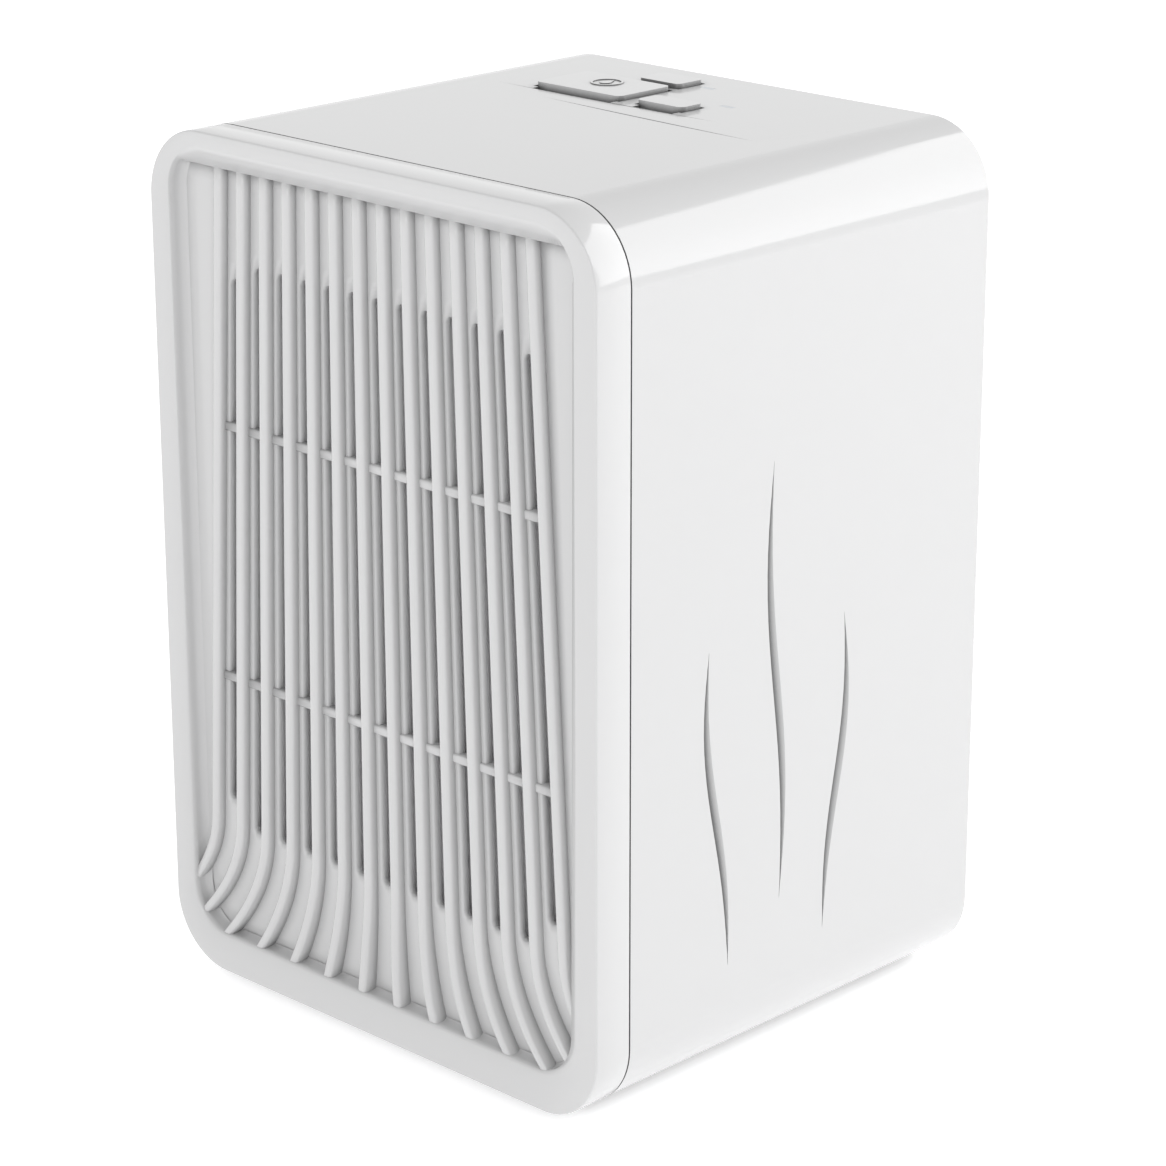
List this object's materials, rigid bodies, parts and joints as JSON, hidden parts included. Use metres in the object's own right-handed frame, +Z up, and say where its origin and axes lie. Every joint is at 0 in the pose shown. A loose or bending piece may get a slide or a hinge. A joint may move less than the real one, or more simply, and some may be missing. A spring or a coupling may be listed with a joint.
{
  "type": "dehumidifier",
  "caption": "Small upright thermoelectric dehumidifier: rounded white housing, recessed finned intake grille in front, top keys, water tank that draws out at the rear.",
  "frame": {"origin": "on the ground under the middle of the housing", "axes": "+Z up; the grille faces -Y; the water tank draws out towards +Y; +X to the right seen from the front"},
  "size_m": [0.15, 0.136, 0.2215],
  "materials": {
    "white_shell": "glossy white, fine moulded",
    "white_keys": "glossy white",
    "dark_moulding": "matte dark grey",
    "mesh_black": "fine woven mesh, dark grey",
    "grey_moulding": "matte grey, inside only",
    "clear_plastic": "clear, smoke blue tint",
    "clear_lens": "milky light guide",
    "rubber_feet": "soft, matte",
    "foam": "closed-cell foam",
    "steel": "zinc-plated screws",
    "shaft_steel": "ground",
    "aluminium_sink": "extruded, mill finish",
    "ceramic_plates": "white alumina",
    "bronze": "sintered bronze",
    "copper_coil": "enamelled copper winding",
    "ferrite": "plastic-bonded ferrite",
    "board_green": "solder resist",
    "component_black": "moulded components",
    "float_foam": "closed-cell orange float",
    "nickel_pin": "nickel plated",
    "wire_red": "PVC insulation",
    "wire_black": "PVC insulation",
    "wire_grey": "PVC insulation"
  },
  "bodies": {
    "housing": {"body_shell": "white_shell", "front_panel": "white_shell", "filter_frame": "dark_moulding", "filter_mesh": "mesh_black", "rear_cover": "white_shell", "cover_screws": "steel", "rubber_feet": "rubber_feet", "indicator_lenses": "clear_lens", "control_board": "board_green", "control_switches": "component_black", "indicator_leds": "clear_lens", "board_spacers": "bronze", "board_screws": "steel", "bulkhead": "grey_moulding", "cold_sink": "aluminium_sink", "foam_gasket": "foam", "peltier_module": "ceramic_plates", "hot_sink": "aluminium_sink", "clamp_bolts": "steel", "clamp_washers": "wire_grey", "fan_frame": "component_black", "fan_bearing": "bronze", "fan_stator": "copper_coil", "fan_screws": "steel", "exhaust_duct": "grey_moulding", "drip_tray": "grey_moulding", "tank_bay": "grey_moulding", "float_sensor": "board_green", "power_board": "board_green", "board_parts": "component_black", "power_inlet": "component_black", "inlet_pin": "nickel_pin", "peltier_leads": "wire_red", "fan_lead": "wire_black", "panel_lead": "wire_grey", "sensor_lead": "wire_grey"},
    "power_button": {"power_key": "white_keys", "power_plunger": "component_black"},
    "mode_button": {"mode_key": "white_keys", "mode_plunger": "component_black"},
    "timer_button": {"timer_key": "white_keys", "timer_plunger": "component_black"},
    "rotor": {"fan_rotor": "component_black", "fan_magnet": "ferrite", "fan_shaft": "shaft_steel"},
    "tank": {"water_tank": "clear_plastic", "tank_lid": "clear_plastic", "float_guide": "clear_plastic", "lid_stopper": "rubber_feet", "tank_panel": "white_shell", "level_window": "clear_plastic"},
    "float": {"float_body": "float_foam", "float_magnet": "ferrite"}
  },
  "joints": [
    {"name": "power_press", "type": "slide", "parent": "housing", "child": "power_button", "axis": [0, 0, -1], "range_m": [0, 0.0008], "stiffness_N_per_m": 1500, "springref_m": -0.0004},
    {"name": "mode_press", "type": "slide", "parent": "housing", "child": "mode_button", "axis": [0, 0, -1], "range_m": [0, 0.0008], "stiffness_N_per_m": 1500, "springref_m": -0.0004},
    {"name": "timer_press", "type": "slide", "parent": "housing", "child": "timer_button", "axis": [0, 0, -1], "range_m": [0, 0.0008], "stiffness_N_per_m": 1500, "springref_m": -0.0004},
    {"name": "fan_spin", "type": "hinge", "parent": "housing", "child": "rotor", "pos_m": [0, 0.0315, 0.155], "axis": [0, 1, 0], "continuous": true},
    {"name": "tank_slide", "type": "slide", "parent": "housing", "child": "tank", "axis": [0, 1, 0], "range_m": [0, 0.1]},
    {"name": "float_rise", "type": "slide", "parent": "tank", "child": "float", "axis": [0, 0, 1], "range_m": [0, 0.014]}
  ]
}
